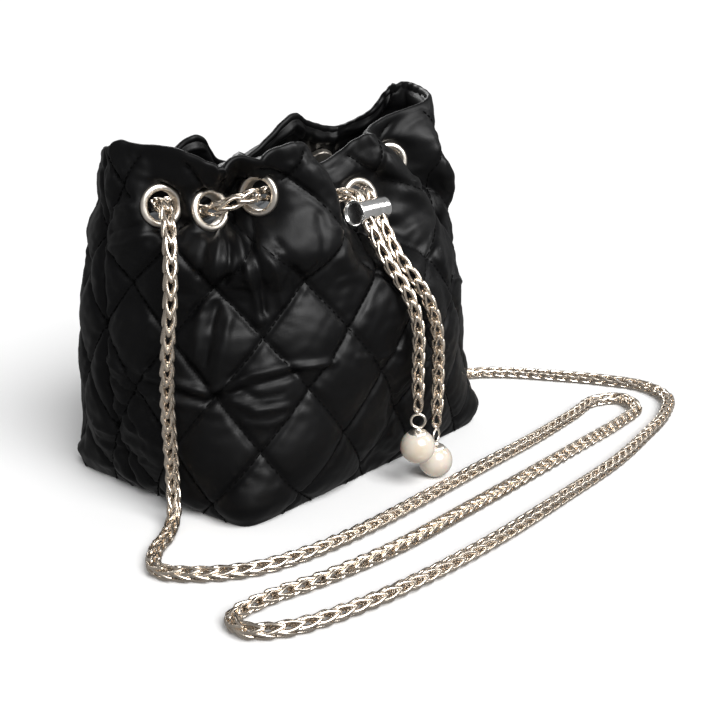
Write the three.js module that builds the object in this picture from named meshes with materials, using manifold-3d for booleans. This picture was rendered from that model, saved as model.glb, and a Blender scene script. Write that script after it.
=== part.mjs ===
// A quilted bucket bag, gathered at the mouth by a chain, with a long chain strap lying on the floor
// and two pearl-ended chain tails drawn through a slider.
// Millimetres, +Z up. The origin is the middle of the base, on the floor; the front faces -Y and
// the two side seams lie on the X axis.
import * as THREE from "three";
import { mergeVertices } from "three/addons/utils/BufferGeometryUtils.js";
import Module from "manifold-3d";

const wasm = await Module();
wasm.setup();

// ---- Driving dimensions ------------------------------------------------------------------------

const LEATHER = 2.2; // padded outer skin
const GAP = 0.3; // between layers that touch
const FACING = 1.0; // leather band inside the rim
const LINING = 0.8;
const LINING_GAP = 1.0; // between the loose lining and the outer skin
const BOARD = 2.0; // stiffener in the base
const BASE_CORNER = 19; // radius of the corners of the base
const SEAM = 0.0008; // half the gap at each side seam, as a share of half the girth
const FACING_FOOT = 0.73; // height of the facing's lower edge, as a share of the wall

const EYELET = { hole: 6.4, barrel: 7.0, flange: 9.5, crown: 1.6, washer: 9.2, washerThick: 0.7 };
const PINCH = 9.7; // half side of the square of leather that an eyelet holds flat
const EYELET_HEIGHT = 0.85; // centre line of the eyelets, as a share of the wall
// The eight eyelets along the front, from the left seam (0) to the right seam (1), and the way
// each one faces: degrees round from +X, and degrees up.
const EYELETS = [
  { place: 0.09, round: 246, up: 6 },
  { place: 0.165, round: 262, up: 14 },
  { place: 0.262, round: 196, up: 6 },
  { place: 0.44, round: 316, up: 32 },
  { place: 0.538, round: 252, up: 16 },
  { place: 0.748, round: 230, up: 5 },
  { place: 0.865, round: 339, up: 0 },
  { place: 0.938, round: 357, up: 0 },
];

const CHAIN = 6.4; // diameter of the wheat chain
const PEARL = 16.8; // diameter
const SLIDER = { radius: 5.5, length: 22, rim: 0.7, bore: 3.8, spacing: 8.8 };
const SLIDER_PLACE = new THREE.Vector3(-11.5, -66, 134);
const TAIL_DIRECTION = new THREE.Vector3(0, -0.56, -0.828).normalize();

// Body of the bag: at each share of the wall's length, the height, the half width, the depth to the
// front and to the back, and the squareness of the section (2 is an ellipse, 20 nearly a rectangle).
const BODY = [
  { at: 0.0, z: 0, halfWidth: 91, front: 61, back: 61, square: 20 },
  { at: 0.055, z: 9, halfWidth: 97, front: 67, back: 68, square: 9 },
  { at: 0.14, z: 24, halfWidth: 102, front: 74, back: 76, square: 4 },
  { at: 0.25, z: 45, halfWidth: 106, front: 79, back: 84, square: 2.7 },
  { at: 0.42, z: 76, halfWidth: 108, front: 83, back: 90, square: 2.2 },
  { at: 0.6, z: 106, halfWidth: 107, front: 80, back: 85, square: 2.0 },
];

// The gathered mouth: round the bag from the left seam (0) by the front to the right seam (1) and
// by the back to the left seam again (2), a point of the shoulder, of the eyelet line above it and
// of the rim.
const MOUTH = [
  { at: 0.0, shoulder: [-106, 2, 122], neck: [-105, 1, 142], rim: [-107, 0, 167] },
  { at: 0.05, shoulder: [-105, -15, 123], neck: [-106, -13, 142], rim: [-105, -9, 168] },
  { at: 0.09, shoulder: [-102, -27, 123], neck: [-97, -21, 143], rim: [-101, -20, 168] },
  { at: 0.127, shoulder: [-98, -37, 123], neck: [-91, -29, 142], rim: [-96, -37, 165] },
  { at: 0.165, shoulder: [-92, -47, 122], neck: [-83, -36, 141], rim: [-90, -47, 163] },
  { at: 0.215, shoulder: [-82, -56, 121], neck: [-71, -33, 144], rim: [-84, -50, 163] },
  { at: 0.262, shoulder: [-70, -66, 123], neck: [-67, -50, 147], rim: [-74, -59, 165] },
  { at: 0.35, shoulder: [-43, -77, 124], neck: [-46, -71, 146], rim: [-55, -65, 170] },
  { at: 0.44, shoulder: [-18, -62, 117], neck: [-21.5, -50, 138], rim: [-27, -43, 156] },
  { at: 0.49, shoulder: [-2, -57, 115], neck: [-9, -42, 136], rim: [-11, -38, 153] },
  { at: 0.538, shoulder: [14, -60, 118], neck: [4.5, -47, 136], rim: [2, -45, 163] },
  { at: 0.6, shoulder: [42, -63, 122], neck: [25, -60, 143], rim: [11, -50, 167] },
  { at: 0.655, shoulder: [56, -48, 123], neck: [41, -40, 144], rim: [27, -34, 165] },
  { at: 0.7, shoulder: [65, -41, 123], neck: [50, -24, 144], rim: [43, -25, 165] },
  { at: 0.748, shoulder: [75, -40, 123], neck: [59, -22, 145], rim: [60, -25, 169] },
  { at: 0.81, shoulder: [90, -39, 124], neck: [80, -43, 148], rim: [83, -29, 176] },
  { at: 0.865, shoulder: [97, -26, 123], neck: [95, -22, 146], rim: [98, -18, 178] },
  { at: 0.938, shoulder: [105, -8, 123], neck: [102, -2, 146], rim: [106, -2, 180] },
  { at: 1.0, shoulder: [107, 6, 123], neck: [102, 15, 147], rim: [101, 7, 180] },
  { at: 1.06, shoulder: [104, 21, 123], neck: [99, 24, 147], rim: [95, 11, 176] },
  { at: 1.12, shoulder: [97, 38, 122], neck: [93, 34, 143], rim: [88, 16, 166] },
  { at: 1.2, shoulder: [85, 54, 120], neck: [83, 45, 138], rim: [83, 34, 157] },
  { at: 1.3, shoulder: [64, 67, 120], neck: [62, 53, 140], rim: [62, 38, 162] },
  { at: 1.37, shoulder: [48, 70, 121], neck: [48, 50, 143], rim: [46, 36, 167] },
  { at: 1.45, shoulder: [26, 76, 118], neck: [26, 62, 136], rim: [24, 42, 151] },
  { at: 1.53, shoulder: [-2, 75, 117], neck: [-2, 58, 134], rim: [-2, 42, 150] },
  { at: 1.6, shoulder: [-21, 72, 119], neck: [-19, 51, 139], rim: [-20, 36, 161] },
  { at: 1.7, shoulder: [-49, 75, 117], neck: [-46, 62, 135], rim: [-44, 46, 152] },
  { at: 1.82, shoulder: [-80, 57, 120], neck: [-78, 48, 139], rim: [-76, 42, 158] },
  { at: 1.92, shoulder: [-99, 26, 122], neck: [-97, 20, 142], rim: [-97, 16, 165] },
];
const SHOULDER_AT = 0.72;
const NECK_AT = EYELET_HEIGHT;
const GIRTH = 600; // length of leather round the bag
const WALL = 185; // length of leather from the base edge to the rim

// Routes of the chain where it hangs or lies free, chosen by hand.
const FLOOR = CHAIN / 2 + 0.5;
const STRAP_LEFT_FALL = [
  [-102.5, -31, 137],
  [-107, -36.5, 126],
  [-110, -38.5, 106],
  [-112, -37.5, 84],
  [-111, -34.5, 60],
  [-109, -32.7, 38],
  [-108, -32, 18],
  [-111, -35, 7],
];
const STRAP_ON_FLOOR = [
  [-121, -42],
  [-135, -50],
  [-146, -64],
  [-139, -78],
  [-121, -93],
  [-96, -101],
  [-60, -105],
  [-18, -105.5],
  [32, -105],
  [84, -104.5],
  [126, -102],
  [152, -100],
  [166, -110],
  [158, -124],
  [132, -128],
  [84, -128.5],
  [30, -128.5],
  [-20, -128],
  [-66, -127],
  [-106, -121.5],
  [-136, -114.5],
  [-153, -115],
  [-157, -125],
  [-146, -136.5],
  [-116, -146.5],
  [-78, -152.5],
  [-30, -155.5],
  [26, -155],
  [78, -153.5],
  [122, -148],
  [160, -141],
  [186, -129],
  [195, -110],
  [190, -86],
  [178, -58],
  [164, -32],
  [148, -16],
  [128, -14],
];
const STRAP_RIGHT_RISE = [
  [118, -11, 9],
  [113, -9, 26],
  [114, -8, 50],
  [114, -8, 80],
  [112.5, -7, 108],
  [111, -3, 128],
];
const TAIL_A_FALL = [
  [-10, -89, 96],
  [-6.6, -91.5, 81],
  [-5.4, -91, 60],
  [-4.9, -91, 39.8],
];
const TAIL_B_FALL = [
  [2, -89, 95],
  [8.6, -91, 78],
  [12, -90, 56],
  [12.8, -89, 26.6],
];
const PEARL_A = new THREE.Vector3(-4.8, -91, 21.8);
const PEARL_B = new THREE.Vector3(12.8, -89, PEARL / 2 + 0.1);
const RING = { radius: 3.4, wire: 0.8 }; // centre line and half thickness of the wire
const CAP_HEIGHT = 2.6;

const MATERIALS = {
  leather: { color: 0x0b0b0c, roughness: 0.38, metalness: 0 },
  lining: { color: 0x6d7173, roughness: 0.9, metalness: 0 },
  board: { color: 0x8a7c66, roughness: 0.95, metalness: 0 },
  silver: { color: 0xc9c2b8, roughness: 0.32, metalness: 1 },
  chrome: { color: 0xd5d8d8, roughness: 0.14, metalness: 1 },
  chain: { color: 0xbab0a4, roughness: 0.25, metalness: 1 },
  pearl: { color: 0xefe6d4, roughness: 0.22, metalness: 0 },
};

const bag = new THREE.Group();

function add(name, geometry, material, parent = bag) {
  const mesh = new THREE.Mesh(geometry, new THREE.MeshStandardMaterial(MATERIALS[material]));
  mesh.name = name;
  parent.add(mesh);
  return mesh;
}

// ---- Smooth curves through the tables ----------------------------------------------------------

// Value at x of the smooth curve through the values at the knots.
function through(knots, values, x) {
  const last = knots.length - 1;
  let i = 0;
  while (i < last - 1 && x > knots[i + 1]) i += 1;
  const slope = (k) => {
    const low = Math.max(k - 1, 0);
    const high = Math.min(k + 1, last);
    return (values[high] - values[low]) / (knots[high] - knots[low]);
  };
  const width = knots[i + 1] - knots[i];
  const u = (x - knots[i]) / width;
  const v = 1 - u;
  return (
    values[i] * v * v * (1 + 2 * u) +
    values[i + 1] * u * u * (1 + 2 * v) +
    width * u * v * (v * slope(i) - u * slope(i + 1))
  );
}

const bodyKnots = BODY.map((row) => row.at);
const wallKnots = [...bodyKnots, SHOULDER_AT, NECK_AT, 1];
const reach = 4; // rows of the mouth repeated past each end, so that it closes smoothly
const mouthRows = [
  ...MOUTH.slice(-reach).map((row) => ({ ...row, at: row.at - 2 })),
  ...MOUTH,
  ...MOUTH.slice(0, reach).map((row) => ({ ...row, at: row.at + 2 })),
];
const mouthKnots = mouthRows.map((row) => row.at);

function mouthPoint(line, s) {
  return [0, 1, 2].map((axis) => {
    const values = mouthRows.map((row) => row[line][axis]);
    return through(mouthKnots, values, s);
  });
}

// A point of the body's section, at the share s round the bag.
function sectionPoint(row, s) {
  const angle = Math.PI * (1 + s) + 0.065 * Math.sin(2 * Math.PI * s);
  const cos = Math.cos(angle);
  const sin = Math.sin(angle);
  const n = row.square;
  const scale = (Math.abs(cos) ** n + Math.abs(sin) ** n) ** (-1 / n);
  const halfDepth = sin < 0 ? row.front : row.back;
  return [row.halfWidth * cos * scale, halfDepth * sin * scale, row.z];
}

// A point of the bag's outer surface before the eyelets flatten it: s round the bag, t up the wall.
function looseWall(s, t) {
  const rows = [
    ...BODY.map((row) => sectionPoint(row, s)),
    mouthPoint("shoulder", s),
    mouthPoint("neck", s),
    mouthPoint("rim", s),
  ];
  const along = (axis) => through(wallKnots, rows.map((row) => row[axis]), t);
  return new THREE.Vector3(along(0), along(1), along(2));
}

// Each eyelet's centre, the way it faces, and the directions round the bag and up along its face.
const eyeletFrames = EYELETS.map(({ place, round, up }) => {
  const turn = THREE.MathUtils.degToRad(round);
  const lift = THREE.MathUtils.degToRad(up);
  const across = new THREE.Vector3(-Math.sin(turn), Math.cos(turn), 0);
  const normal = new THREE.Vector3(Math.cos(turn), Math.sin(turn), 0);
  normal.multiplyScalar(Math.cos(lift)).setZ(Math.sin(lift));
  const along = normal.clone().cross(across);
  return { place, point: looseWall(place, EYELET_HEIGHT), normal, across, along };
});

// The outer surface and its normal. The flange and washer of each eyelet hold a square of the
// leather flat round it.
function wallFrame(s, t) {
  for (const eyelet of eyeletFrames) {
    const across = ((s - eyelet.place) * GIRTH) / 2;
    const along = (t - EYELET_HEIGHT) * WALL;
    if (Math.max(Math.abs(across), Math.abs(along)) < PINCH + 0.01) {
      const point = eyelet.point.clone();
      point.addScaledVector(eyelet.across, across).addScaledVector(eyelet.along, along);
      return { point, normal: eyelet.normal.clone() };
    }
  }
  const step = 0.004;
  const round = looseWall(s + step, t).sub(looseWall(s - step, t));
  const up = looseWall(s, Math.min(t + step, 1)).sub(looseWall(s, Math.max(t - step, 0)));
  return { point: looseWall(s, t), normal: round.cross(up).normalize() };
}

// ---- Layers of the wall ------------------------------------------------------------------------

function weld(geometry) {
  geometry.deleteAttribute("normal");
  geometry.deleteAttribute("uv");
  return mergeVertices(geometry, 1e-4);
}

// A closed sheet bent round the bag, with its grid lines at the given places and heights.
function layer({ columns, rows, depth, thickness }) {
  const wide = columns.length;
  const face = wide * rows.length;
  const points = [];
  for (const inward of [depth, depth + thickness]) {
    for (const t of rows) {
      for (const s of columns) {
        const { point, normal } = wallFrame(s, t);
        points.push(...point.addScaledVector(normal, -inward));
      }
    }
  }
  const index = [];
  const quad = (a, b, c, d) => index.push(a, b, c, a, c, d);
  for (let j = 0; j < rows.length - 1; j += 1) {
    for (let i = 0; i < wide - 1; i += 1) {
      const a = j * wide + i;
      quad(a, a + 1, a + wide + 1, a + wide);
      index.push(face + a, face + a + wide + 1, face + a + 1);
      index.push(face + a, face + a + wide, face + a + wide + 1);
    }
  }
  const top = face - wide;
  for (let i = 0; i < wide - 1; i += 1) {
    quad(face + i, face + i + 1, i + 1, i);
    quad(top + i, top + i + 1, face + top + i + 1, face + top + i);
  }
  for (let a = 0; a < top; a += wide) {
    const b = a + wide - 1;
    quad(face + a, a, a + wide, face + a + wide);
    quad(b, face + b, face + b + wide, b + wide);
  }
  const geometry = new THREE.BufferGeometry();
  geometry.setAttribute("position", new THREE.Float32BufferAttribute(points, 3));
  geometry.setIndex(index);
  geometry.computeVertexNormals();
  return geometry;
}

// Even places from one to another, about a step apart.
function places(from, to, step) {
  const cells = Math.max(1, Math.round((to - from) / step));
  return Array.from({ length: cells + 1 }, (_, k) => from + ((to - from) * k) / cells);
}

function toSolid(geometry) {
  const clean = weld(geometry.clone());
  return new wasm.Manifold(
    new wasm.Mesh({
      numProp: 3,
      vertProperties: new Float32Array(clean.attributes.position.array),
      triVerts: new Uint32Array(clean.index.array),
    }),
  );
}

function toGeometry(solid) {
  const mesh = solid.getMesh();
  const geometry = new THREE.BufferGeometry();
  geometry.setAttribute("position", new THREE.BufferAttribute(mesh.vertProperties, 3));
  geometry.setIndex(new THREE.BufferAttribute(mesh.triVerts, 1));
  geometry.computeVertexNormals();
  return geometry;
}

function turnTo(direction) {
  return new THREE.Quaternion().setFromUnitVectors(new THREE.Vector3(0, 1, 0), direction);
}

// The layer with a hole for the barrel of each eyelet.
function punched(geometry) {
  let solid = toSolid(geometry);
  for (const eyelet of eyeletFrames) {
    const punch = new THREE.CylinderGeometry(EYELET.barrel + 0.4, EYELET.barrel + 0.4, 16, 12);
    punch.applyQuaternion(turnTo(eyelet.normal));
    punch.translate(...eyelet.point);
    solid = solid.subtract(toSolid(punch));
  }
  return toGeometry(solid);
}

const pinchAcross = (2 * PINCH) / GIRTH;
const pinchUp = PINCH / WALL;
const pinchFoot = EYELET_HEIGHT - pinchUp;
const pinchTop = EYELET_HEIGHT + pinchUp;

// Grid lines round the front: about evenly spaced, and at both sides of each eyelet's square.
const frontColumns = [SEAM];
for (const { place } of EYELETS) {
  frontColumns.push(...places(frontColumns.at(-1), place - pinchAcross, 0.036).slice(1));
  frontColumns.push(place + pinchAcross);
}
frontColumns.push(...places(frontColumns.at(-1), 1 - SEAM, 0.036).slice(1));
const backColumns = places(1 + SEAM, 2 - SEAM, 0.036);
const outerRows = [0, 0.055, 0.14, 0.25, 0.34, 0.43, 0.52, 0.6, 0.66, 0.73, pinchFoot, pinchTop, 1];
const facingRows = [FACING_FOOT, pinchFoot, pinchTop, 1];
const liningRows = [0.04, 0.14, 0.25, 0.43, 0.6, 0.66];
const outer = { rows: outerRows, depth: 0, thickness: LEATHER };
const facing = { rows: facingRows, depth: LEATHER + GAP, thickness: FACING };
const lining = { rows: liningRows, depth: LEATHER + LINING_GAP, thickness: LINING };

add("front_panel", punched(layer({ columns: frontColumns, ...outer })), "leather");
add("back_panel", layer({ columns: backColumns, ...outer }), "leather");
add("facing_front", punched(layer({ columns: frontColumns, ...facing })), "leather");
add("facing_back", layer({ columns: backColumns, ...facing }), "leather");
add("lining_front", layer({ columns: frontColumns, ...lining }), "lining");
add("lining_back", layer({ columns: backColumns, ...lining }), "lining");

// ---- Base --------------------------------------------------------------------------------------

// A flat plate of the base's outline, drawn in from the wall.
function basePlate(name, inset, low, thickness, material) {
  const x = BODY[0].halfWidth - inset;
  const y = BODY[0].front - inset;
  const corner = BASE_CORNER;
  const outline = new THREE.Shape();
  outline.absarc(x - corner, y - corner, corner, 0, Math.PI / 2);
  outline.absarc(corner - x, y - corner, corner, Math.PI / 2, Math.PI);
  outline.absarc(corner - x, corner - y, corner, Math.PI, 1.5 * Math.PI);
  outline.absarc(x - corner, corner - y, corner, 1.5 * Math.PI, 2 * Math.PI);
  const corners = outline.getPoints(4).filter((point, i, all) => point.distanceTo(all.at(i - 1)) > 0.1);
  const plate = new THREE.ExtrudeGeometry(new THREE.Shape(corners), {
    depth: thickness,
    bevelEnabled: false,
  });
  plate.translate(0, 0, low);
  add(name, plate, material);
}

basePlate("base_panel", 3.0, 0, LEATHER, "leather");
basePlate("base_board", 3.3, LEATHER + GAP, BOARD, "board");
basePlate("lining_floor", 3.6, LEATHER + BOARD + 2 * GAP, LINING, "lining");

// ---- Eyelets -----------------------------------------------------------------------------------

function lathe(profile, segments) {
  const points = profile.map(([radius, height]) => new THREE.Vector2(radius, height));
  return new THREE.LatheGeometry([...points, points[0].clone()], segments);
}

const washerTop = -(LEATHER + GAP + FACING + GAP);
const washerFoot = washerTop - EYELET.washerThick;
const grommetProfile = [
  [EYELET.hole, washerFoot],
  [EYELET.barrel, washerFoot],
  [EYELET.barrel, GAP],
  [EYELET.flange, GAP],
  [EYELET.flange - 0.3, GAP + 0.55 * EYELET.crown],
  [(EYELET.flange + EYELET.hole) / 2, GAP + EYELET.crown],
  [EYELET.hole + 0.3, GAP + 0.55 * EYELET.crown],
];
const washerProfile = [
  [EYELET.barrel + GAP, washerFoot],
  [EYELET.washer, washerFoot],
  [EYELET.washer, washerTop],
  [EYELET.barrel + GAP, washerTop],
];

eyeletFrames.forEach((eyelet, i) => {
  const seat = new THREE.Group();
  seat.position.copy(eyelet.point);
  seat.quaternion.copy(turnTo(eyelet.normal));
  bag.add(seat);
  add(`eyelet_${i + 1}`, lathe(grommetProfile, 12), "silver", seat);
  add(`eyelet_washer_${i + 1}`, lathe(washerProfile, 12), "silver", seat);
});

// ---- Chain -------------------------------------------------------------------------------------

const polygon = (radius, sides) => {
  const shape = new THREE.Shape();
  shape.absarc(0, 0, radius, 0, 2 * Math.PI);
  return new THREE.Shape(shape.getPoints(sides / 2).slice(0, sides));
};

// A round tube along a smooth curve through the points.
function tube(points, steps) {
  const path = new THREE.CatmullRomCurve3(points, false, "centripetal");
  return new THREE.ExtrudeGeometry(polygon(CHAIN / 2, 8), {
    steps,
    bevelEnabled: false,
    extrudePath: path,
  });
}

// A point on the axis of an eyelet, numbered from 1, at a height above the leather.
function onEyelet(number, height, shift = [0, 0, 0]) {
  const { point, normal } = eyeletFrames[number - 1];
  return point.clone().addScaledVector(normal, height).add(new THREE.Vector3(...shift));
}

const vectors = (rows) => rows.map((row) => new THREE.Vector3(...row));
const meeting = -1.2; // height at which two stretches of the chain meet inside an eyelet
const half = GAP / 2;

// Inside the bag, from one eyelet to another, behind the leather between them.
function innerRun(name, first, last, middle, steps) {
  const route = [
    onEyelet(first, meeting - half),
    onEyelet(first, -4),
    onEyelet(first, -7),
    ...middle,
    onEyelet(last, -7),
    onEyelet(last, -4),
    onEyelet(last, meeting - half),
  ];
  add(name, tube(route, steps), "chain");
}

innerRun("chain_inside_1_2", 1, 2, vectors([[-85, -14, 141]]), 10);
innerRun("chain_inside_3_4", 3, 4, vectors([[-48, -50, 143], [-36, -42, 136]]), 12);
innerRun("chain_inside_5_8", 5, 8, vectors([[22, -30, 128], [50, -6, 124], [76, -6, 132]]), 18);

const outerRoute = [
  onEyelet(2, meeting + half),
  onEyelet(2, 1.5),
  onEyelet(2, 6),
  onEyelet(3, 6),
  onEyelet(3, 1.5),
  onEyelet(3, meeting + half),
];
add("chain_outside_2_3", tube(outerRoute, 12), "chain");

const strapRoute = [
  onEyelet(1, meeting + half),
  onEyelet(1, 1.5),
  onEyelet(1, 5),
  ...vectors(STRAP_LEFT_FALL),
  ...STRAP_ON_FLOOR.map(([x, y]) => new THREE.Vector3(x, y, FLOOR)),
  ...vectors(STRAP_RIGHT_RISE),
  onEyelet(8, 6.5),
  onEyelet(8, 2.5),
  onEyelet(8, meeting + half),
];
add("strap_chain", tube(strapRoute, 84), "chain");

// ---- Slider and tails --------------------------------------------------------------------------

function sliderSolid() {
  const { radius, length, rim, bore, spacing } = SLIDER;
  const end = length / 2;
  const edge = 0.9;
  const barrel = new THREE.LatheGeometry(
    [
      new THREE.Vector2(0, -end),
      new THREE.Vector2(radius + rim, -end),
      new THREE.Vector2(radius + rim, -end + edge),
      new THREE.Vector2(radius, -end + 1.5 * edge),
      new THREE.Vector2(radius, end - edge),
      new THREE.Vector2(radius - edge, end),
      new THREE.Vector2(0, end),
    ],
    20,
  );
  barrel.rotateZ(-Math.PI / 2);
  let solid = toSolid(barrel);
  for (const side of [-1, 1]) {
    const drill = new THREE.CylinderGeometry(bore, bore, 4 * radius, 14);
    drill.translate((side * spacing) / 2, 0, 0);
    solid = solid.subtract(toSolid(drill));
  }
  return toGeometry(solid);
}

const slider = add("slider", sliderSolid(), "chrome");
slider.position.copy(SLIDER_PLACE);
slider.quaternion.copy(turnTo(TAIL_DIRECTION.clone().negate()));

// A point on the axis of one bore of the slider, at a distance down the tail.
function onBore(side, distance) {
  const shift = new THREE.Vector3((side * SLIDER.spacing) / 2, 0, 0);
  return SLIDER_PLACE.clone().add(shift).addScaledVector(TAIL_DIRECTION, distance);
}

function tail(name, eyelet, side, fall) {
  const route = [
    onEyelet(eyelet, meeting + half),
    onEyelet(eyelet, 1.5),
    onEyelet(eyelet, 4),
    onBore(side, -8),
    onBore(side, 0),
    onBore(side, 12),
    onBore(side, 24),
    ...vectors(fall),
  ];
  add(name, tube(route, 22), "chain");
}

tail("tail_chain_a", 4, -1, TAIL_A_FALL);
tail("tail_chain_b", 5, 1, TAIL_B_FALL);

// ---- Pearls ------------------------------------------------------------------------------------

const pearlRadius = PEARL / 2;
const capSeat = pearlRadius * 0.86; // height of the cap's foot above the pearl's centre
const ringHeight = capSeat + CAP_HEIGHT + RING.radius + 0.2;

function pendant(letter, centre) {
  const hanging = new THREE.Group();
  hanging.position.copy(centre);
  bag.add(hanging);

  const flat = Math.sqrt(pearlRadius ** 2 - capSeat ** 2) + 0.4;
  const ball = toSolid(new THREE.SphereGeometry(pearlRadius, 14, 10).rotateX(Math.PI / 2));
  const flatTop = new THREE.BoxGeometry(2 * flat, 2 * flat, 4);
  flatTop.translate(0, 0, capSeat - GAP + 2);
  add(`pearl_${letter}`, toGeometry(ball.subtract(toSolid(flatTop))), "pearl", hanging);

  const cap = new THREE.LatheGeometry(
    [
      new THREE.Vector2(0, 0),
      new THREE.Vector2(flat - 0.4, 0),
      new THREE.Vector2(flat, 0.8),
      new THREE.Vector2(2.2, 1.2),
      new THREE.Vector2(1.5, CAP_HEIGHT - 1),
      new THREE.Vector2(0, CAP_HEIGHT - 1),
    ],
    12,
  );
  cap.rotateX(Math.PI / 2);
  cap.translate(0, 0, capSeat);
  add(`pearl_cap_${letter}`, cap, "silver", hanging);

  const ring = new THREE.TorusGeometry(RING.radius, RING.wire, 6, 12);
  ring.rotateX(Math.PI / 2);
  ring.translate(0, 0, ringHeight);
  add(`pearl_ring_${letter}`, ring, "silver", hanging);
}

pendant("a", PEARL_A);
pendant("b", PEARL_B);

// ---- Magnetic snap -----------------------------------------------------------------------------

// A disc that stands on the inside of the facing, at a place round the bag and a height.
function snapHalf(name, s, t, profile) {
  const { point, normal } = wallFrame(s, t);
  const inward = normal.clone().negate();
  const disc = lathe(profile, 16);
  const mesh = add(name, disc, "silver");
  mesh.position.copy(point).addScaledVector(inward, LEATHER + FACING + 2 * GAP + 0.6);
  mesh.quaternion.copy(turnTo(inward));
}

snapHalf("snap_stud", 0.65, 0.86, [
  [0, 0],
  [7.6, 0],
  [7.6, 1],
  [1.4, 1.4],
  [1.4, 3.6],
  [0, 3.6],
]);
snapHalf("snap_socket", 1.22, 0.86, [
  [1.6, 0],
  [8, 0],
  [8, 3],
  [7.4, 3.4],
  [1.6, 3.4],
]);

export default bag;
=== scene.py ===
import math

import bmesh
import bpy
import numpy as np
from mathutils import Matrix, Vector


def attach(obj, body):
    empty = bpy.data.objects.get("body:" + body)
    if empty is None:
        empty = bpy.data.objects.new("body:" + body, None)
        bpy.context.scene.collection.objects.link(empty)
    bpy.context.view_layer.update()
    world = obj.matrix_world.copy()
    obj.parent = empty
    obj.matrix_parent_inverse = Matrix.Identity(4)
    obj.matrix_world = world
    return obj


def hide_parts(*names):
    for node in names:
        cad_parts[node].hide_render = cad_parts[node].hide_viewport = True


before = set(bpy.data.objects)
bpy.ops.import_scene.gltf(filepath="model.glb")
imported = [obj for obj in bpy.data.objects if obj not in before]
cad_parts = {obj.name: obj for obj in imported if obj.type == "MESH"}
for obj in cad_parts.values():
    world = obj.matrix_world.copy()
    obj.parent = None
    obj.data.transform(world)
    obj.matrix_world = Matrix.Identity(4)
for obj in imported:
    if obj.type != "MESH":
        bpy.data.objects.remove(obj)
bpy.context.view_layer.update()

scene = bpy.context.scene

# ---- Camera ----

cam = bpy.data.cameras.new("camera")
cam.lens = 59.5
cam.sensor_width = 36.0
cam.clip_start = 0.01
camera = bpy.data.objects.new("camera", cam)
scene.collection.objects.link(camera)
scene.camera = camera
pitch = math.radians(17.7)
ahead = Vector((0.770, 0.638, 0.0)).normalized()
right = Vector((ahead.y, -ahead.x, 0.0))
forward = ahead * math.cos(pitch) + Vector((0, 0, -math.sin(pitch)))
up = right.cross(forward)
pose = Matrix((right, up, -forward)).transposed().to_4x4()
pose.translation = Vector((-0.432, -0.409, 0.235))
camera.matrix_world = pose

# ---- Small tools ----


def smooth(x, low, high):
    """0 below low, 1 above high, and a smooth step between."""
    u = np.clip((np.asarray(x, float) - low) / (high - low), 0, 1)
    return u * u * (3 - 2 * u)


def new_mesh(name, points, faces, uv=None, shade_smooth=True):
    """An object from points in millimetres; uv holds one pair per point."""
    mesh = bpy.data.meshes.new(name)
    mesh.from_pydata((np.asarray(points, float) / 1000).tolist(), [], np.asarray(faces, np.int32).tolist())
    if uv is not None:
        layer = mesh.uv_layers.new(name="leather")
        corner = read(mesh.loops, "vertex_index", 1, np.int32)[:, 0]
        layer.data.foreach_set("uv", np.asarray(uv, np.float32)[corner].ravel())
    if shade_smooth:
        mesh.polygons.foreach_set("use_smooth", np.ones(len(mesh.polygons), bool))
    obj = bpy.data.objects.new(name, mesh)
    scene.collection.objects.link(obj)
    return obj


def read(items, key, width, kind=np.float32):
    """One property of all of a mesh's points or corners, as rows."""
    values = np.empty(len(items) * width, kind)
    items.foreach_get(key, values)
    return values.reshape(-1, width)


def grid_faces(rows, cols, close=False):
    """Four-sided faces of a grid of points, row by row; close joins each row's end to its start."""
    j, i = np.meshgrid(np.arange(rows - 1), np.arange(cols if close else cols - 1), indexing="ij")
    a = j * cols + i
    b = j * cols + (i + 1) % cols
    return np.stack([a, b, b + cols, a + cols], -1).reshape(-1, 4)


def put(obj, body, slot, finish, *nodes):
    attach(obj, body)
    obj.data.materials.clear()
    obj.data.materials.append(finish)
    if nodes:
        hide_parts(*nodes)
    return obj


# ---- Materials ----


def material(name, color, roughness, metallic=0.0, **sockets):
    """A new material, its node tree and its shader; sockets are named with _ for a space."""
    mat = bpy.data.materials.new(name)
    mat.use_nodes = True
    tree = mat.node_tree
    shader = tree.nodes["Principled BSDF"]
    shader.inputs["Base Color"].default_value = (*color, 1)
    shader.inputs["Roughness"].default_value = roughness
    shader.inputs["Metallic"].default_value = metallic
    for key, value in sockets.items():
        shader.inputs[key.replace("_", " ")].default_value = value
    return mat, tree, shader


def feed(shader, **sockets):
    for key, value in sockets.items():
        shader.id_data.links.new(value, shader.inputs[key.replace("_", " ")])


def noise(tree, scale, detail, stretch=None):
    """Noise in the piece's own space, in cycles per metre."""
    node = tree.nodes.new("ShaderNodeTexNoise")
    node.inputs["Scale"].default_value = scale
    node.inputs["Detail"].default_value = detail
    vector = tree.nodes.new("ShaderNodeTexCoord").outputs["Object"]
    if stretch:
        mapping = tree.nodes.new("ShaderNodeMapping")
        mapping.inputs["Scale"].default_value = stretch
        tree.links.new(vector, mapping.inputs["Vector"])
        vector = mapping.outputs["Vector"]
    tree.links.new(vector, node.inputs["Vector"])
    return node.outputs["Fac"]


def ramp(tree, value, stops):
    """Maps a value through stops of (place, grey or colour)."""
    node = tree.nodes.new("ShaderNodeValToRGB")
    elements = node.color_ramp.elements
    while len(elements) < len(stops):
        elements.new(0.5)
    for element, (place, color) in zip(elements, stops):
        element.position = place
        element.color = (*color, 1) if isinstance(color, tuple) else (color, color, color, 1)
    tree.links.new(value, node.inputs["Fac"])
    return node.outputs["Color"]


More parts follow.
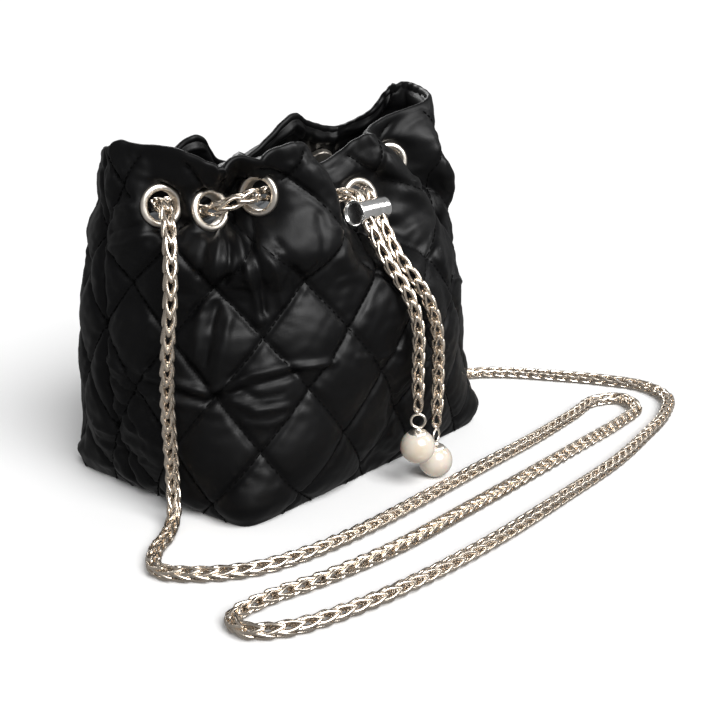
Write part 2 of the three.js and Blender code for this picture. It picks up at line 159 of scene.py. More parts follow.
def bump(tree, height, strength, distance, normal=None):
    """Bumps of the given distance in metres, over an earlier normal where there is one."""
    node = tree.nodes.new("ShaderNodeBump")
    node.inputs["Strength"].default_value = strength
    node.inputs["Distance"].default_value = distance
    tree.links.new(height, node.inputs["Height"])
    if normal is not None:
        tree.links.new(normal, node.inputs["Normal"])
    return node.outputs["Normal"]


def make_leather():
    mat, tree, shader = material("leather_black", (0.002, 0.002, 0.0022), 0.42, Specular_IOR_Level=0.12)
    grain = tree.nodes.new("ShaderNodeTexVoronoi")
    grain.feature = "DISTANCE_TO_EDGE"
    grain.inputs["Scale"].default_value = 1500
    tree.links.new(tree.nodes.new("ShaderNodeTexCoord").outputs["Object"], grain.inputs["Vector"])
    pores = ramp(tree, grain.outputs["Distance"], [(0.0, 0.0), (0.12, 1.0)])
    creases = noise(tree, 130, 4, stretch=(1, 1, 0.35))
    soft = noise(tree, 26, 3)
    normal = bump(tree, soft, 0.22, 0.004)
    normal = bump(tree, creases, 0.22, 0.0009, normal)
    normal = bump(tree, pores, 0.10, 0.0002, normal)
    tone = ramp(tree, noise(tree, 60, 3), [(0.3, 0.41), (0.7, 0.53)])
    tints = [(0.3, (0.0012, 0.0012, 0.0014)), (0.75, (0.003, 0.003, 0.0033))]
    feed(shader, Normal=normal, Roughness=tone, Base_Color=ramp(tree, noise(tree, 14, 2), tints))
    return mat


def make_lining():
    mat, tree, shader = material("lining_grey", (0.13, 0.14, 0.145), 0.85, Sheen_Weight=0.25)
    coordinates = tree.nodes.new("ShaderNodeTexCoord").outputs["Object"]
    threads = []
    for direction in ("X", "Z"):
        wave = tree.nodes.new("ShaderNodeTexWave")
        wave.bands_direction = direction
        wave.inputs["Scale"].default_value = 700
        wave.inputs["Distortion"].default_value = 0.6
        tree.links.new(coordinates, wave.inputs["Vector"])
        threads.append(wave.outputs["Fac"])
    weave = tree.nodes.new("ShaderNodeMath")
    weave.operation = "MULTIPLY"
    tree.links.new(threads[0], weave.inputs[0])
    tree.links.new(threads[1], weave.inputs[1])
    normal = bump(tree, noise(tree, 45, 3), 0.5, 0.003)
    tint = ramp(tree, noise(tree, 30, 3), [(0.3, (0.11, 0.118, 0.125)), (0.7, (0.16, 0.17, 0.178))])
    feed(shader, Normal=bump(tree, weave.outputs[0], 0.35, 0.0003, normal), Base_Color=tint)
    return mat


def make_metal(name, color, low, high, scratch=0.05):
    mat, tree, shader = material(name, color, low, 1.0)
    tone = ramp(tree, noise(tree, 320, 3), [(0.3, low), (0.7, high)])
    wear = noise(tree, 900, 2, stretch=(1, 1, 0.15))
    dark = tuple(v * 0.82 for v in color)
    tint = ramp(tree, noise(tree, 150, 2), [(0.35, dark), (0.6, color)])
    feed(shader, Roughness=tone, Normal=bump(tree, wear, scratch, 0.0002), Base_Color=tint)
    return mat


def make_pearl():
    mat, tree, shader = material(
        "pearl_cream", (0.62, 0.56, 0.47), 0.2, Coat_Weight=0.6, Coat_Roughness=0.08,
        Subsurface_Weight=0.25, Subsurface_Scale=0.004,
    )
    tints = [(0.3, (0.58, 0.50, 0.40)), (0.6, (0.66, 0.60, 0.52)), (0.8, (0.64, 0.58, 0.54))]
    tone = ramp(tree, noise(tree, 200, 2), [(0.3, 0.16), (0.7, 0.26)])
    feed(shader, Base_Color=ramp(tree, noise(tree, 70, 3), tints), Roughness=tone)
    return mat


def make_thread():
    mat, tree, shader = material("thread_black", (0.002, 0.002, 0.002), 0.8, Specular_IOR_Level=0.04)
    tint = ramp(tree, noise(tree, 400, 1), [(0.3, 0.0012), (0.7, 0.003)])
    feed(shader, Normal=bump(tree, noise(tree, 2500, 2), 0.4, 0.0002), Base_Color=tint)
    return mat


LEATHER = make_leather()
LINING = make_lining()
SILVER = make_metal("silver_satin", (0.82, 0.76, 0.68), 0.28, 0.38)
CHROME = make_metal("chrome_polished", (0.96, 0.96, 0.95), 0.16, 0.22, 0.02)
CHAIN_METAL = make_metal("chain_metal", (0.74, 0.65, 0.55), 0.22, 0.32)
PEARL = make_pearl()
THREAD = make_thread()

# ---- The bag's wall ----
# The same tables as the CAD part's: s runs round the bag, 0 at the left seam, 1 at the right seam by
# the front and 2 at the left seam again by the back; t runs up the wall. Millimetres.

SKIN = 2.2
GAP = 0.3
FACING = 1.0
FACING_FOOT, FACING_TOP = 0.73, 0.985
GIRTH = 600.0
HALF_GIRTH = GIRTH / 2
WALL = 185.0
EYELET_HEIGHT = 0.85
# Radii of an eyelet's hole, barrel and flange and of its washer; the flange's and washer's thickness.
HOLE, BARREL, FLANGE, CROWN, WASHER, WASHER_THICK = 6.4, 7.0, 9.5, 1.6, 9.2, 0.7
# Each eyelet: place round the bag (s), the way it faces round the bag and upwards in degrees.
EYELETS = [(0.09, 246, 6), (0.165, 262, 14), (0.262, 196, 6), (0.44, 316, 32), (0.538, 252, 16),
           (0.748, 230, 5), (0.865, 339, 0), (0.938, 357, 0)]
# Rings of the body: t, height, half width, depth to the front and the back, squareness of the outline.
BODY = np.array([
    (0.0, 0, 91, 61, 61, 20), (0.055, 9, 97, 67, 68, 9), (0.14, 24, 102, 74, 76, 4),
    (0.25, 45, 106, 79, 84, 2.7), (0.42, 76, 108, 83, 90, 2.2), (0.6, 106, 107, 80, 85, 2.0),
])
# Lines of the gathered mouth: s, then x, y, z at the line's foot, its middle and the rim.
MOUTH = np.array([
    (0.0, -106, 2, 122, -105, 1, 142, -107, 0, 167),
    (0.05, -105, -15, 123, -106, -13, 142, -105, -9, 168),
    (0.09, -102, -27, 123, -97, -21, 143, -101, -20, 168),
    (0.127, -98, -37, 123, -91, -29, 142, -96, -37, 165),
    (0.165, -92, -47, 122, -83, -36, 141, -90, -47, 163),
    (0.215, -82, -56, 121, -71, -33, 144, -84, -50, 163),
    (0.262, -70, -66, 123, -67, -50, 147, -74, -59, 165),
    (0.35, -43, -77, 124, -46, -71, 146, -55, -65, 170),
    (0.44, -18, -62, 117, -21.5, -50, 138, -27, -43, 156),
    (0.49, -2, -57, 115, -9, -42, 136, -11, -38, 153),
    (0.538, 14, -60, 118, 4.5, -47, 136, 2, -45, 163),
    (0.6, 42, -63, 122, 25, -60, 143, 11, -50, 167),
    (0.655, 56, -48, 123, 41, -40, 144, 27, -34, 165),
    (0.7, 65, -41, 123, 50, -24, 144, 43, -25, 165),
    (0.748, 75, -40, 123, 59, -22, 145, 60, -25, 169),
    (0.81, 90, -39, 124, 80, -43, 148, 83, -29, 176),
    (0.865, 97, -26, 123, 95, -22, 146, 98, -18, 178),
    (0.938, 105, -8, 123, 102, -2, 146, 106, -2, 180),
    (1.0, 107, 6, 123, 102, 15, 147, 101, 7, 180),
    (1.06, 104, 21, 123, 99, 24, 147, 95, 11, 176),
    (1.12, 97, 38, 122, 93, 34, 143, 88, 16, 166),
    (1.2, 85, 54, 120, 83, 45, 138, 83, 34, 157),
    (1.3, 64, 67, 120, 62, 53, 140, 62, 38, 162),
    (1.37, 48, 70, 121, 48, 50, 143, 46, 36, 167),
    (1.45, 26, 76, 118, 26, 62, 136, 24, 42, 151),
    (1.53, -2, 75, 117, -2, 58, 134, -2, 42, 150),
    (1.6, -21, 72, 119, -19, 51, 139, -20, 36, 161),
    (1.7, -49, 75, 117, -46, 62, 135, -44, 46, 152),
    (1.82, -80, 57, 120, -78, 48, 139, -76, 42, 158),
    (1.92, -99, 26, 122, -97, 20, 142, -97, 16, 165),
])
TURN = np.array([1.0] + [0.0] * 9)
MOUTH_ROUND = np.concatenate([MOUTH[-4:] - 2 * TURN, MOUTH, MOUTH[:4] + 2 * TURN])
WALL_KNOTS = np.concatenate([BODY[:, 0], [0.72, 0.85, 1.0]])


def slopes(knots, values):
    """The slope of the values at each knot, from its neighbours."""
    n = len(knots)
    low = np.clip(np.arange(n) - 1, 0, n - 1)
    high = np.clip(np.arange(n) + 1, 0, n - 1)
    run = (knots[high] - knots[low]).reshape((-1,) + (1,) * (values.ndim - 1))
    return (values[high] - values[low]) / run


def between(knots, x, i, v0, v1, m0, m1):
    """The cubic from value v0 and slope m0 at knot i to v1 and m1 at the next."""
    width = (knots[i + 1] - knots[i])[..., None]
    u = ((x - knots[i])[..., None]) / width
    v = 1 - u
    return v0 * v * v * (1 + 2 * u) + v1 * u * u * (1 + 2 * v) + width * u * v * (v * m0 - u * m1)


def wall(s, t):
    """Points of the loose outer surface."""
    s, t = np.broadcast_arrays(np.asarray(s, float), np.asarray(t, float))
    s = np.mod(s, 2.0)
    angle = math.pi * (1 + s) + 0.065 * np.sin(2 * math.pi * s)
    cos, sin = np.cos(angle), np.sin(angle)
    rows = []
    for _, z, half_width, front, back, square in BODY:
        scale = (np.abs(cos) ** square + np.abs(sin) ** square) ** (-1 / square)
        half_depth = np.where(sin < 0, front, back)
        rows.append(np.stack([half_width * cos * scale, half_depth * sin * scale, np.full(s.shape, z)], -1))
    knots = MOUTH_ROUND[:, 0]
    i = np.clip(np.searchsorted(knots, s, side="left") - 1, 0, len(knots) - 2)
    for line in range(3):
        values = MOUTH_ROUND[:, 1 + 3 * line : 4 + 3 * line]
        slope = slopes(knots, values)
        rows.append(between(knots, s, i, values[i], values[i + 1], slope[i], slope[i + 1]))
    stack = np.stack(rows)
    slope = slopes(WALL_KNOTS, stack)
    i = np.clip(np.searchsorted(WALL_KNOTS, t, side="left") - 1, 0, len(WALL_KNOTS) - 2)

    def pick(table, index):
        return np.take_along_axis(table, np.repeat(index[None, ..., None], 3, -1), 0)[0]

    return between(WALL_KNOTS, t, i, pick(stack, i), pick(stack, i + 1), pick(slope, i), pick(slope, i + 1))


def unit(v):
    return v / np.maximum(np.linalg.norm(v, axis=-1, keepdims=True), 1e-12)


# Each eyelet: place, centre, the way it faces, and the two directions across its flange.
FRAMES = []
for place, round_deg, up_deg in EYELETS:
    a, e = math.radians(round_deg), math.radians(up_deg)
    across = np.array([-math.sin(a), math.cos(a), 0.0])
    normal = np.array([math.cos(a) * math.cos(e), math.sin(a) * math.cos(e), math.sin(e)])
    FRAMES.append((place, wall(place, EYELET_HEIGHT), normal, across, np.cross(normal, across)))


def held(s, t):
    """The outer surface with the leather flat round each eyelet, and how flat it is there."""
    point = wall(s, t)
    flat = np.zeros(point.shape[:-1])
    for place, centre, _, across, along in FRAMES:
        a = (np.asarray(s) - place) * GIRTH / 2
        b = (np.asarray(t) - EYELET_HEIGHT) * WALL
        weight = 1 - smooth(np.hypot(a, b), 9.8, 15.5)
        target = centre + a[..., None] * across + b[..., None] * along
        point = point + weight[..., None] * (target - point)
        flat = np.maximum(flat, 1 - smooth(np.hypot(a, b), 9.5, 13.5))
    return point, flat


# ---- Chain ----

CHAIN = 6.4
FLOOR = CHAIN / 2 + 0.5
LINK_STEP = 3.8
LINK_REACH = 4.9
LINK_AROUND, LINK_SIDES = 26, 6
TWIST_PER_METRE = 5.0
WIRE = 0.78
# Two runs of chain meet inside an eyelet, this far from its face, 0.15 apart on either side.
MEETING, MEETING_GAP = -1.2, 0.15
CURVE_STEP = 0.5
SLIDER_RADIUS, SLIDER_LENGTH, SLIDER_RIM, SLIDER_BORE, SLIDER_SPACING = 5.5, 22.0, 0.7, 3.8, 8.8
SLIDER_PLACE = np.array([-11.5, -66.0, 134.0])
TAIL_DIRECTION = unit(np.array([0.0, -0.56, -0.828]))
STRAP_LEFT_FALL = [
    (-102.5, -31, 137), (-107, -36.5, 126), (-110, -38.5, 106), (-112, -37.5, 84),
    (-111, -34.5, 60), (-109, -32.7, 38), (-108, -32, 18), (-111, -35, 7),
]
STRAP_ON_FLOOR = [
    (-121, -42), (-135, -50), (-146, -64), (-139, -78), (-121, -93), (-96, -101), (-60, -105),
    (-18, -105.5), (32, -105), (84, -104.5), (126, -102), (152, -100), (166, -110), (158, -124),
    (132, -128), (84, -128.5), (30, -128.5), (-20, -128), (-66, -127), (-106, -121.5),
    (-136, -114.5), (-153, -115), (-157, -125), (-146, -136.5), (-116, -146.5), (-78, -152.5),
    (-30, -155.5), (26, -155), (78, -153.5), (122, -148), (160, -141), (186, -129),
    (195, -110), (190, -86), (178, -58), (164, -32), (148, -16), (128, -14),
]
STRAP_RIGHT_RISE = [
    (118, -11, 9), (113, -9, 26), (114, -8, 50), (114, -8, 80), (112.5, -7, 108), (111, -3, 128),
]
TAIL_A_FALL = [(-10, -89, 96), (-6.6, -91.5, 81), (-5.4, -91, 60), (-4.9, -91, 39.8)]
TAIL_B_FALL = [(2, -89, 95), (8.6, -91, 78), (12, -90, 56), (12.8, -89, 26.6)]


def on_eyelet(number, height):
    _, centre, normal, _, _ = FRAMES[number - 1]
    return centre + normal * height


def on_bore(side, distance):
    shift = np.array([side * SLIDER_SPACING / 2, 0, 0])
    return SLIDER_PLACE + shift + TAIL_DIRECTION * distance


def smooth_curve(points):
    """Evenly spaced points of the centripetal Catmull-Rom curve through the given ones."""
    p = np.array([np.asarray(q, float) for q in points])
    p = np.vstack([2 * p[0] - p[1], p, 2 * p[-1] - p[-2]])
    fine = []
    for i in range(1, len(p) - 2):
        knots = np.cumsum([0] + [np.linalg.norm(p[i + k] - p[i + k - 1]) ** 0.5 for k in range(3)])
        t = np.linspace(knots[1], knots[2], 60, endpoint=False)[:, None]
        a = [((knots[k + 1] - t) * p[i + k - 1] + (t - knots[k]) * p[i + k]) / (knots[k + 1] - knots[k])
             for k in range(3)]
        b = [((knots[k + 2] - t) * a[k] + (t - knots[k]) * a[k + 1]) / (knots[k + 2] - knots[k])
             for k in range(2)]
        fine.append(((knots[2] - t) * b[0] + (t - knots[1]) * b[1]) / (knots[2] - knots[1]))
    fine = np.vstack(fine + [p[-2][None]])
    along = np.concatenate([[0], np.cumsum(np.linalg.norm(np.diff(fine, axis=0), axis=1))])
    even = np.linspace(0, along[-1], max(2, int(round(along[-1] / CURVE_STEP)) + 1))
    return np.stack([np.interp(even, along, fine[:, k]) for k in range(3)], 1), along[-1]


def turning_frames(line, twist):
    """Two directions across the line at each of its points, without twist but for the given one."""
    tangent = unit(np.gradient(line, axis=0))
    side = unit(np.cross(tangent[0], [0.3, 0.2, 1.0]))
    sides = []
    for direction in tangent:
        side = unit(side - direction * side.dot(direction))
        sides.append(side)
    sides = np.array(sides)
    other = np.cross(tangent, sides)
    angle = np.linspace(0, twist, len(line))[:, None]
    return sides * np.cos(angle) + other * np.sin(angle), other * np.cos(angle) - sides * np.sin(angle)


def link_shape():
    """One bent ring of the chain: (angle about the chain, radius, place along it) and its wire."""
    around, sides = LINK_AROUND, LINK_SIDES
    theta = np.arange(around) / around * 2 * math.pi
    z = -LINK_REACH * np.cos(theta)
    wide = 0.5 + 0.5 * np.cos(theta)
    angle = 1.18 * np.sign(np.sin(theta)) * np.abs(np.sin(theta)) ** 0.8 * wide ** 0.8
    radius = 2.68 - 1.15 * wide ** 5 - 0.35 * (1 - wide) ** 10
    centre = np.stack([np.sin(angle) * radius, np.cos(angle) * radius, z], -1)
    tangent = unit(np.roll(centre, -1, 0) - np.roll(centre, 1, 0))
    out = np.stack([np.sin(angle), np.cos(angle), np.zeros(around)], -1)
    out = unit(out - tangent * (out * tangent).sum(-1, keepdims=True))
    across = np.cross(tangent, out)
    turn = np.arange(sides) / sides * 2 * math.pi
    wire = WIRE * (np.cos(turn)[None, :, None] * out[:, None] + np.sin(turn)[None, :, None] * across[:, None])
    points = (centre[:, None] + wire).reshape(-1, 3)
    k, m = np.meshgrid(np.arange(around), np.arange(sides), indexing="ij")
    a = k * sides + m
    b = k * sides + (m + 1) % sides
    c = ((k + 1) % around) * sides + (m + 1) % sides
    d = ((k + 1) % around) * sides + m
    return points, np.stack([a, b, c, d], -1).reshape(-1, 4)


LINK_POINTS, LINK_FACES = link_shape()


def chain(name, route, upward=False):
    """A wheat chain along the route; its links' points lie towards the route's end, or its start."""
    line, length = smooth_curve(route[::-1] if upward else route)
    sides, other = turning_frames(line, TWIST_PER_METRE * length / 1000)
    tangent = unit(np.gradient(line, axis=0))
    count = max(1, int((length - 2 * LINK_REACH) / LINK_STEP))
    stations = LINK_REACH + np.arange(count + 1) * (length - 2 * LINK_REACH) / count
    steps = np.arange(len(line)) * length / (len(line) - 1)
    blocks, faces = [], []
    for k, station in enumerate(stations):
        at = station + LINK_POINTS[:, 2]
        inside = np.clip(at, 0, length)
        centre, u, v, w = (np.stack([np.interp(inside, steps, values[:, c]) for c in range(3)], 1)
                           for values in (line, sides, other, tangent))
        centre = centre + w * (at - inside)[:, None]
        if k % 2:
            u, v = v, -u
        for flip in (1, -1):
            blocks.append(centre + flip * (u * LINK_POINTS[:, :1] + v * LINK_POINTS[:, 1:2]))
            faces.append(LINK_FACES + len(LINK_POINTS) * (len(blocks) - 1))
    obj = new_mesh(name, np.vstack(blocks), np.vstack(faces))
    line = line[::-1] if upward else line
    return put(obj, "bag", "chain", CHAIN_METAL, name), line, length


def inner_route(first, last, middle):
    start = [on_eyelet(first, h) for h in (MEETING - MEETING_GAP, -4, -7)]
    end = [on_eyelet(last, h) for h in (-7, -4, MEETING - MEETING_GAP)]
    return start + middle + end


CHAIN_LENGTHS = {}
strap_route = [on_eyelet(1, h) for h in (MEETING + MEETING_GAP, 1.5, 5)] + STRAP_LEFT_FALL
strap_route += [(x, y, FLOOR) for x, y in STRAP_ON_FLOOR] + STRAP_RIGHT_RISE
strap_route += [on_eyelet(8, h) for h in (6.5, 2.5, MEETING + MEETING_GAP)]
strap, strap_line, CHAIN_LENGTHS["strap"] = chain("strap_chain", strap_route)
chain("chain_inside_1_2", inner_route(1, 2, [(-85, -14, 141)]), True)
chain("chain_inside_3_4", inner_route(3, 4, [(-48, -50, 143), (-36, -42, 136)]), True)
chain("chain_inside_5_8", inner_route(5, 8, [(22, -30, 128), (50, -6, 124), (76, -6, 132)]), True)
chain("chain_outside_2_3", [on_eyelet(2, h) for h in (MEETING + MEETING_GAP, 1.5, 6)]
      + [on_eyelet(3, h) for h in (6, 1.5, MEETING + MEETING_GAP)], True)

# ---- Lathe work: eyelets, washers, slider, pearls with their caps and rings ----


SAME_POINT = 1e-6
SEAT = -(SKIN + GAP + FACING + GAP)


def turned(name, profile, sides, centre, axis, scallop=None):
    """A turned piece: profile rows (radius, height) go round the axis; it closes on itself."""
    axis = unit(np.asarray(axis, float))
    u = unit(np.cross(axis, [0.12, 0.97, 0.2]))
    v = np.cross(axis, u)
    profile = np.asarray(profile, float)
    turn = np.arange(sides) / sides * 2 * math.pi
    rows = []
    for r, h in profile:
        wave = scallop(turn, r, h) if scallop else (r, h)
        radius, height = (np.broadcast_to(w, turn.shape) for w in wave)
        rows.append(centre + radius[:, None] * (np.cos(turn)[:, None] * u + np.sin(turn)[:, None] * v)
                    + height[:, None] * axis)
    points = np.vstack(rows)
    faces = grid_faces(len(profile), sides, close=True)
    last = (len(profile) - 1) * sides
    i = np.arange(sides)
    if profile[0][0] > 1e-6:
        faces = np.vstack([faces, np.stack([last + i, last + (i + 1) % sides, (i + 1) % sides, i], -1)])
    obj = new_mesh(name, points, faces)
    clean(obj)
    return obj


def clean(obj):
    """Joins points that coincide, turns the faces outwards and shades them smooth."""
    mesh = bmesh.new()
    mesh.from_mesh(obj.data)
    bmesh.ops.remove_doubles(mesh, verts=mesh.verts, dist=SAME_POINT)
    bmesh.ops.recalc_face_normals(mesh, faces=mesh.faces)
    mesh.to_mesh(obj.data)
    mesh.free()
    obj.data.polygons.foreach_set("use_smooth", np.ones(len(obj.data.polygons), bool))


def eyelet_profile():
    middle = (FLANGE + HOLE) / 2
    half = (FLANGE - HOLE) / 2
    foot = SEAT - WASHER_THICK
    rows = [(HOLE, foot), (HOLE, -1.5)]
    for k in range(13):
        a = math.pi * (1 - k / 12)
        rows.append((middle + half * math.cos(a), GAP + 0.25 + (CROWN - 0.25) * math.sin(a) ** 0.8))
    rows += [(FLANGE, 0.02), (BARREL + 0.15, 0.02), (BARREL + 0.15, foot)]
    return rows


for number, (_, centre, normal, _, _) in enumerate(FRAMES, 1):
    ring = turned(f"eyelet_ring_{number}", eyelet_profile(), 72, centre, normal)
    put(ring, "bag", "silver", SILVER, f"eyelet_{number}")
    rows = [(BARREL + 0.3, SEAT), (BARREL + 0.3, SEAT - WASHER_THICK)]
    rows += [(WASHER - 0.4 + 0.4 * math.sin(a), SEAT - WASHER_THICK / 2 - 0.35 * math.cos(a))
             for a in np.linspace(0, math.pi, 7)]
    washer = turned(f"washer_ring_{number}", rows, 56, centre, normal)
    put(washer, "bag", "silver", SILVER, f"eyelet_washer_{number}")


def make_slider():
    end = SLIDER_LENGTH / 2
    rim = SLIDER_RADIUS + SLIDER_RIM
    rows = [(0, -end + 1.5), (SLIDER_RADIUS - 0.7, -end + 1.5), (SLIDER_RADIUS - 0.4, -end + 1.2)]
    rows += [(rim - 0.5 + 0.5 * math.cos(a), -end + 0.5 + 0.5 * math.sin(a))
             for a in np.linspace(-math.pi, 0.5 * math.pi, 11)]
    rows += [(SLIDER_RADIUS - 0.4, -end + 1.15), (SLIDER_RADIUS - 0.4, -end + 1.6)]
    rows += [(SLIDER_RADIUS, -end + 1.9)]
    rows += [(SLIDER_RADIUS, z) for z in np.linspace(-end + 2.6, end - 1.6, 12)]
    rows += [(SLIDER_RADIUS - 1.4 + 1.4 * math.cos(a), end - 1.4 + 1.4 * math.sin(a))
             for a in np.linspace(0.2, math.pi / 2, 7)]
    rows += [(0, end)]
    body = turned("slider_drum", rows, 96, SLIDER_PLACE, (1, 0, 0))
    for side in (-1, 1):
        drill = turned(f"drill_{side}", [(0, -12), (SLIDER_BORE, -12), (SLIDER_BORE, 12), (0, 12)], 48,
                       on_bore(side, 0), TAIL_DIRECTION)
        cut = body.modifiers.new("bore", "BOOLEAN")
        cut.object = drill
        cut.operation = "DIFFERENCE"
        cut.solver = "EXACT"
        apply_modifiers(body)
        bpy.data.objects.remove(drill)
    soften = body.modifiers.new("edge", "BEVEL")
    soften.width = 0.0003
    soften.segments = 2
    soften.limit_method = "ANGLE"
    soften.angle_limit = math.radians(50)
    apply_modifiers(body)
    for polygon in body.data.polygons:
        polygon.use_smooth = True
    put(body, "slider", "chrome", CHROME, "slider")


def apply_modifiers(obj):
    depsgraph = bpy.context.evaluated_depsgraph_get()
    mesh = bpy.data.meshes.new_from_object(obj.evaluated_get(depsgraph))
    obj.modifiers.clear()
    old = obj.data
    obj.data = mesh
    bpy.data.meshes.remove(old)


make_slider()

PEARL_RADIUS = 8.4
PEARL_TOP_ANGLE = 1.18
RING_RADIUS, RING_WIRE, CAP_HEIGHT = 3.4, 0.65, 2.6
CAP_SEAT = 0.86 * PEARL_RADIUS
RING_HEIGHT = CAP_SEAT + CAP_HEIGHT + RING_RADIUS - 0.2
RING_AROUND, RING_SIDES = 48, 14
PEARL_A = np.array([-4.8, -91, 21.8])
PEARL_B = np.array([12.8, -89, 8.5])


def torus(name, centre, axis, radius, wire):
    rows = [(radius + wire * math.cos(a), wire * math.sin(a))
            for a in np.arange(RING_SIDES) / RING_SIDES * 2 * math.pi]
    return turned(name, rows, RING_AROUND, centre, axis)


def petals(turn, r, h):
    wave = 0.5 + 0.5 * np.cos(8 * turn)
    out = smooth(r, 2.0, 4.3)
    return r + 0.35 * wave * out, h - 0.55 * wave * out


def make_pendant(letter, centre, ring_axis):
    body = f"pearl_drop_{letter}"
    rows = [(max(PEARL_RADIUS * math.cos(a), 0.0), PEARL_RADIUS * math.sin(a))
            for a in np.linspace(-math.pi / 2, PEARL_TOP_ANGLE, 36)]
    rows.append((0.0, PEARL_RADIUS * math.sin(PEARL_TOP_ANGLE)))
    rows[0] = (0.0, -PEARL_RADIUS)
    pearl = turned(f"pearl_ball_{letter}", rows, 56, centre, (0, 0, 1))
    put(pearl, body, "pearl", PEARL, f"pearl_{letter}")
    z = CAP_SEAT
    rows = [(0, z + 0.1), (3.0, z + 0.1), (4.45, z - 0.62), (4.65, z - 0.5), (4.5, z + 0.1), (3.9, z + 0.75),
            (3.0, z + 1.15), (2.0, z + 1.35), (1.55, z + 1.6), (1.35, z + 2.1), (0.9, z + 2.5), (0, z + 2.6)]
    cap = turned(f"cap_crown_{letter}", rows, 64, centre, (0, 0, 1), petals)
    put(cap, body, "silver", SILVER, f"pearl_cap_{letter}")
    hang = centre + np.array([0, 0, RING_HEIGHT])
    ring = torus(f"ring_{letter}", hang, ring_axis, RING_RADIUS, RING_WIRE)
    put(ring, body, "silver", SILVER, f"pearl_ring_{letter}")
    return [ring, cap, pearl]


def make_tail(letter, eyelet, side, fall, pearl, ring_axis):
    route = [on_eyelet(eyelet, h) for h in (MEETING + MEETING_GAP, 1.5, 4)]
    route += [on_bore(side, d) for d in (-8, 0, 12, 24)] + list(fall)
    piece, line, length = chain(f"tail_chain_{letter}", route, True)
    pendant = make_pendant(letter, pearl, ring_axis)
    CHAIN_LENGTHS[f"tail_{letter}"] = length


make_tail("a", 4, -1, TAIL_A_FALL, PEARL_A, (0.8, 0.6, 0))
make_tail("b", 5, 1, TAIL_B_FALL, PEARL_B, (-0.2, 1, 0))

# ---- Quilted leather ----
# Leather coordinates in millimetres: x = 300 s runs round the bag and y up the wall. The grid's
# diagonals are the quilting's stitch lines: diamonds 40 wide and 52 tall, on every 20th diagonal.

COLUMNS, ROWS = 300, 72
DX, DY = 2.0, 2.6
DIAMOND = 20
DIAMOND_WIDE, DIAMOND_TALL = DIAMOND * DX, DIAMOND * DY
# How much of a stitch line's length is climb.
STITCH_CLIMB = 0.79
# A column and row where two stitch lines cross, and the columns of the side seams.
CROSSING = (25, 24)
LEFT_SEAM, RIGHT_SEAM = 295, 150
PADDING = 2.6
# The cloth's growth under pressure, its steps, and the furthest a point may move.
GROW_LEAST, GROW_MOST = 0.004, 0.035
PRESSURE = 5.0
CLOTH_STEPS = 22
MOST_SWELL = 7.0
LEATHER_HOLE, INNER_HOLE = 7.4, 7.0

# Broad folds of the leather: half width, height over the wall, and the points of a line (x, y, x, y, ...).
FOLDS = [
    (34, -6.0, 232, 44, 230, 104),
    (14, -4.0, 145, 14, 145, 36),
    (16, -2.2, 228, 82, 227, 96),
    (9, 2.6, 245, 137, 246, 143),
    (9, -2.6, 246, 158, 247, 170),
    (24, -5.4, 551, 120, 552, 146),
    (24, -4.2, 546, 22, 547, 70),
    (11, -2.2, 540, 27, 543, 40),
    (3.4, -3.5, 70, 186, 70, 172, 69, 158),
    (3.0, 1.4, 62, 186, 63, 174, 64, 162),
    (3.0, 1.2, 78, 186, 78, 174, 75, 164),
    (4.5, 2.0, 168, 146, 173, 124, 181, 106, 187, 86),
    (3.4, -1.6, 162, 140, 167, 120, 173, 102),
    (5.0, 2.0, 184, 150, 194, 130, 204, 112),
    (4.5, 2.0, 226, 140, 232, 112, 228, 86),
    (4.5, 2.2, 352, 150, 356, 128, 362, 106),
    (4.5, 2.2, 384, 150, 382, 126, 378, 108),
    (4.5, 2.4, 430, 148, 436, 122, 434, 98),
    (4.5, 2.2, 466, 150, 462, 128, 466, 106),
    (4.5, 2.2, 512, 148, 506, 124, 512, 102),
    (4.5, 2.0, 556, 148, 560, 126, 554, 104),
]

# How far the rim rises or dips from the wall's own edge: place round the bag, half width, height.
RIM_SHIFTS = [
    (10, 10, 3.0), (34, 7, 1.8), (57, 10, -3.0), (75, 8, -2.4), (300, 45, 2.2),
    (450, 14, -3.2), (468, 8, -1.8), (487, 8, 2.0),
]

